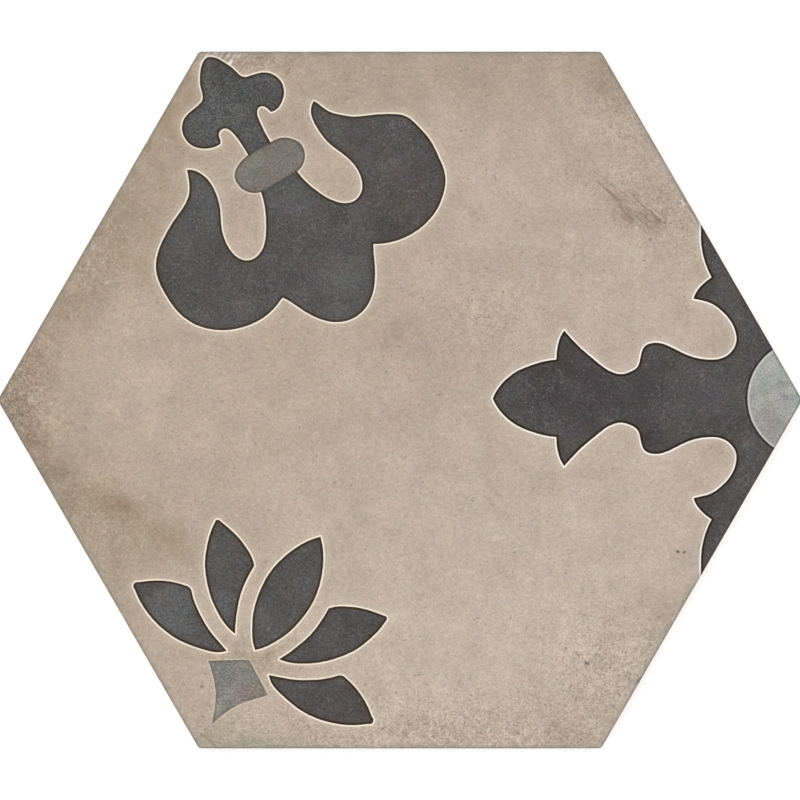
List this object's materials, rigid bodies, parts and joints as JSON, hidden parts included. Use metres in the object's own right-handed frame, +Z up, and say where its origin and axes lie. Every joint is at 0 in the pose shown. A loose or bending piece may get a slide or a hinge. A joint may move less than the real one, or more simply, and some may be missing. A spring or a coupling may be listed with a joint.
{
  "type": "hexagon floor tile",
  "caption": "Hexagonal ceramic floor tile, matt beige with dark lily, flower and cross figures standing in alternate corners and a honeycomb of keys in its back.",
  "frame": {"origin": "middle of the flat underside, on the bed or floor that the tile lies on", "axes": "+Z up out of the decorated face, +X to the corner with the cross, +Y square to the side between the lily corner and the bare corner"},
  "size_m": [0.2496, 0.2164, 0.0095],
  "materials": {
    "tile_ceramic": "matt stoneware, beige ground with charcoal and grey figures, aged and stained"
  },
  "bodies": {
    "root": {"hexagon_tile": "tile_ceramic"}
  },
  "joints": []
}
